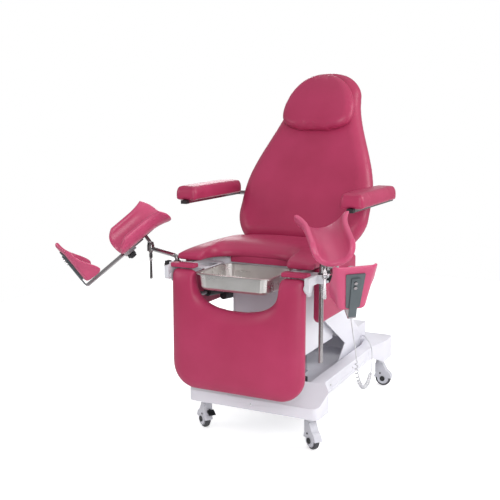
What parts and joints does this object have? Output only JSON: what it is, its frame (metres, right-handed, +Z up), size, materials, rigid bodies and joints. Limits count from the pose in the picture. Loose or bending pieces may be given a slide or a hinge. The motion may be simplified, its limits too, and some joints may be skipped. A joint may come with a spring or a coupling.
{
  "type": "gynaecological examination table",
  "caption": "Powered gynaecological examination table with reclining back, raising leg section, slide-out tray, armrests and clamped adjustable leg supports on a castered base.",
  "frame": {"origin": "the point on the floor at the centre of the four caster stems", "axes": "+X to the patient's left (right side of the picture), -Y to the front where the leg section hangs, +Z up"},
  "size_m": [1.3917, 1.5424, 1.5092],
  "materials": {
    "white_cover": "satin moulded ABS",
    "white_frame": "white powder coat",
    "chassis": "dark powder coat",
    "column": "anodised",
    "black_plastic": "fine matt",
    "caster_body": "moulded nylon",
    "tyre": "matt",
    "upholstery": "smooth rose synthetic leather",
    "stainless": "polished stainless",
    "actuator_rod": "bright",
    "handset_shell": "fine matt",
    "keys": "fine matt",
    "cord_sleeve": "soft PVC"
  },
  "bodies": {
    "base": {"base_frame": "chassis", "base_cover": "white_cover", "tower_cover": "white_cover", "outer_column": "column", "control_box": "black_plastic"},
    "carriage": {"inner_column": "column", "column_cover": "white_cover", "seat_frame": "white_frame", "seat_cushion": "upholstery", "side_skirts": "upholstery", "back_actuator": "black_plastic", "leg_actuator": "black_plastic", "handset": "handset_shell", "cord": "cord_sleeve", "cord_curl": "cord_sleeve"},
    "tray": {"instrument_tray": "stainless"},
    "back": {"back_frame": "white_frame", "back_cushion": "upholstery", "head_pillow": "upholstery"},
    "back_rod": {"back_actuator_rod": "actuator_rod"},
    "leg": {"leg_frame": "white_frame", "leg_pad": "upholstery"},
    "leg_rod": {"leg_actuator_rod": "actuator_rod"},
    "arm_left": {"armrest_bar_left": "stainless", "armrest_pad_left": "upholstery"},
    "arm_right": {"armrest_bar_right": "stainless", "armrest_pad_right": "upholstery"},
    "key_lift": {"key_lift": "keys"},
    "key_back": {"key_back": "keys"},
    "key_leg": {"key_leg": "keys"},
    "caster_fl": {"caster_fork_fl": "caster_body"},
    "wheel_fl": {"wheel_fl": "tyre"},
    "pedal_fl": {"brake_pedal_fl": "black_plastic"},
    "caster_fr": {"caster_fork_fr": "caster_body"},
    "wheel_fr": {"wheel_fr": "tyre"},
    "caster_rl": {"caster_fork_rl": "caster_body"},
    "wheel_rl": {"wheel_rl": "tyre"},
    "pedal_rl": {"brake_pedal_rl": "black_plastic"},
    "caster_rr": {"caster_fork_rr": "caster_body"},
    "wheel_rr": {"wheel_rr": "tyre"},
    "bush_left": {"clamp_bush_left": "black_plastic"},
    "rod_left": {"support_rod_left": "stainless"},
    "clamp_knob_left": {"clamp_knob_left": "black_plastic"},
    "head_left": {"joint_head_left": "stainless"},
    "lever_left": {"joint_lever_left": "stainless"},
    "bracket_knob_left": {"bracket_knob_left": "black_plastic"},
    "shell_left": {"shell_bracket_left": "stainless", "calf_shell_left": "upholstery"},
    "foot_left": {"foot_bar_left": "stainless", "foot_shell_left": "upholstery"},
    "bush_right": {"clamp_bush_right": "black_plastic"},
    "rod_right": {"support_rod_right": "stainless"},
    "clamp_knob_right": {"clamp_knob_right": "black_plastic"},
    "head_right": {"joint_head_right": "stainless"},
    "lever_right": {"joint_lever_right": "stainless"},
    "bracket_knob_right": {"bracket_knob_right": "black_plastic"},
    "shell_right": {"shell_bracket_right": "stainless", "calf_shell_right": "upholstery"},
    "foot_right": {"foot_bar_right": "stainless", "foot_shell_right": "upholstery"}
  },
  "joints": [
    {"name": "lift", "type": "slide", "parent": "base", "child": "carriage", "axis": [0, 0, 1], "range_m": [-0.09, 0.18], "deforming": ["cord", "cord_curl"]},
    {"name": "tray_slide", "type": "slide", "parent": "carriage", "child": "tray", "axis": [0, 1, 0], "range_m": [-0.25, 0]},
    {"name": "back_recline", "type": "hinge", "parent": "carriage", "child": "back", "pos_m": [0, -0.04, 0.685], "axis": [-1, 0, 0], "range_deg": [0, 58]},
    {"name": "back_drive", "type": "slide", "parent": "carriage", "child": "back_rod", "axis": [0, 1, 0], "range_m": [-0.0785, 0]},
    {"name": "leg_raise", "type": "hinge", "parent": "carriage", "child": "leg", "pos_m": [0, -0.632, 0.69], "axis": [-1, 0, 0], "range_deg": [0, 90]},
    {"name": "leg_drive", "type": "slide", "parent": "carriage", "child": "leg_rod", "axis": [0, -0.9954, 0.0955], "range_m": [0, 0.1467]},
    {"name": "armrest_left", "type": "hinge", "parent": "back", "child": "arm_left", "pos_m": [-0.369, 0.105, 0.955], "axis": [-1, 0, 0], "range_deg": [0, 100]},
    {"name": "armrest_right", "type": "hinge", "parent": "back", "child": "arm_right", "pos_m": [0.369, 0.105, 0.955], "axis": [-1, 0, 0], "range_deg": [0, 100]},
    {"name": "swivel_fl", "type": "hinge", "parent": "base", "child": "caster_fl", "pos_m": [-0.237, -0.445, 0.11], "axis": [0, 0, 1], "continuous": true},
    {"name": "roll_fl", "type": "hinge", "parent": "caster_fl", "child": "wheel_fl", "pos_m": [-0.25328, -0.43339, 0.0375], "axis": [-0.5807, -0.8141, 0], "continuous": true},
    {"name": "brake_fl", "type": "hinge", "parent": "caster_fl", "child": "pedal_fl", "pos_m": [-0.21746, -0.45894, 0.086], "axis": [0.5807, 0.8141, 0], "range_deg": [0, 12]},
    {"name": "swivel_fr", "type": "hinge", "parent": "base", "child": "caster_fr", "pos_m": [0.237, -0.445, 0.11], "axis": [0, 0, 1], "continuous": true},
    {"name": "roll_fr", "type": "hinge", "parent": "caster_fr", "child": "wheel_fr", "pos_m": [0.25328, -0.45661, 0.0375], "axis": [0.5807, 0.8141, 0], "continuous": true},
    {"name": "swivel_rl", "type": "hinge", "parent": "base", "child": "caster_rl", "pos_m": [-0.237, 0.445, 0.11], "axis": [0, 0, 1], "continuous": true},
    {"name": "roll_rl", "type": "hinge", "parent": "caster_rl", "child": "wheel_rl", "pos_m": [-0.25699, 0.4457, 0.0375], "axis": [-0.0349, -0.9994, 0], "continuous": true},
    {"name": "brake_rl", "type": "hinge", "parent": "caster_rl", "child": "pedal_rl", "pos_m": [-0.21302, 0.44416, 0.086], "axis": [0.0349, 0.9994, 0], "range_deg": [0, 12]},
    {"name": "swivel_rr", "type": "hinge", "parent": "base", "child": "caster_rr", "pos_m": [0.237, 0.445, 0.11], "axis": [0, 0, 1], "continuous": true},
    {"name": "roll_rr", "type": "hinge", "parent": "caster_rr", "child": "wheel_rr", "pos_m": [0.25699, 0.4457, 0.0375], "axis": [-0.0349, 0.9994, 0], "continuous": true},
    {"name": "support_swing_left", "type": "hinge", "parent": "carriage", "child": "bush_left", "pos_m": [-0.315, -0.54, 0.714], "axis": [0, 0, -1], "range_deg": [-60, 20]},
    {"name": "support_height_left", "type": "slide", "parent": "bush_left", "child": "rod_left", "axis": [0, 0, 1], "range_m": [0, 0.15]},
    {"name": "clamp_turn_left", "type": "hinge", "parent": "carriage", "child": "clamp_knob_left", "pos_m": [-0.355, -0.54, 0.714], "axis": [-1, 0, 0], "range_deg": [-360, 360]},
    {"name": "shell_yaw_left", "type": "hinge", "parent": "rod_left", "child": "head_left", "pos_m": [-0.45878, -0.51465, 0.792], "axis": [0, 0, -1], "range_deg": [-25, 25]},
    {"name": "lever_swing_left", "type": "hinge", "parent": "head_left", "child": "lever_left", "pos_m": [-0.45878, -0.51465, 0.742], "axis": [-0.8425, 0.5388, 0], "range_deg": [-35, 35]},
    {"name": "shell_tilt_left", "type": "hinge", "parent": "head_left", "child": "shell_left", "pos_m": [-0.45878, -0.51465, 0.792], "axis": [0.8358, -0.5345, -0.1253], "range_deg": [-30, 15]},
    {"name": "foot_clamp_turn_left", "type": "hinge", "parent": "shell_left", "child": "bracket_knob_left", "pos_m": [-0.51299, -0.59374, 0.76783], "axis": [0.2425, 0.5642, -0.7892], "range_deg": [-360, 360]},
    {"name": "foot_reach_left", "type": "slide", "parent": "shell_left", "child": "foot_left", "axis": [-0.4926, -0.6292, -0.6012], "range_m": [0, 0.07]},
    {"name": "support_swing_right", "type": "hinge", "parent": "carriage", "child": "bush_right", "pos_m": [0.315, -0.54, 0.714], "axis": [0, 0, 1], "range_deg": [-20, 60]},
    {"name": "support_height_right", "type": "slide", "parent": "bush_right", "child": "rod_right", "axis": [0, 0, 1], "range_m": [-0.028, 0.12]},
    {"name": "clamp_turn_right", "type": "hinge", "parent": "carriage", "child": "clamp_knob_right", "pos_m": [0.355, -0.54, 0.714], "axis": [1, 0, 0], "range_deg": [-360, 360]},
    {"name": "shell_yaw_right", "type": "hinge", "parent": "rod_right", "child": "head_right", "pos_m": [0.379, -0.67122, 0.819], "axis": [0, 0, 1], "range_deg": [-25, 25]},
    {"name": "lever_swing_right", "type": "hinge", "parent": "head_right", "child": "lever_right", "pos_m": [0.379, -0.67122, 0.769], "axis": [0.8271, 0.5621, 0], "range_deg": [-35, 35]},
    {"name": "shell_tilt_right", "type": "hinge", "parent": "head_right", "child": "shell_right", "pos_m": [0.379, -0.67122, 0.819], "axis": [0.8254, 0.561, 0.0628], "range_deg": [-20, 20]},
    {"name": "foot_clamp_turn_right", "type": "hinge", "parent": "shell_right", "child": "bracket_knob_right", "pos_m": [0.43481, -0.75256, 0.81201], "axis": [-0.2098, 0.4082, -0.8885], "range_deg": [-360, 360]},
    {"name": "foot_reach_right", "type": "slide", "parent": "shell_right", "child": "foot_right", "axis": [0.524, -0.7202, -0.4546], "range_m": [-0.066, 0.004]},
    {"name": "key_lift_press", "type": "hinge", "parent": "carriage", "child": "key_lift", "pos_m": [0.3265, -0.218, 0.672], "axis": [0, 1, 0], "range_deg": [-6, 6], "stiffness_Nm_per_rad": 0.05},
    {"name": "key_back_press", "type": "hinge", "parent": "carriage", "child": "key_back", "pos_m": [0.3265, -0.218, 0.643], "axis": [0, 1, 0], "range_deg": [-6, 6], "stiffness_Nm_per_rad": 0.05},
    {"name": "key_leg_press", "type": "hinge", "parent": "carriage", "child": "key_leg", "pos_m": [0.3265, -0.218, 0.614], "axis": [0, 1, 0], "range_deg": [-6, 6], "stiffness_Nm_per_rad": 0.05}
  ],
  "couplings": [
    {"joint": "back_drive", "follows": "back_recline", "m_per_rad": -0.07666},
    {"joint": "leg_drive", "follows": "leg_raise", "m_per_rad": 0.09337}
  ]
}
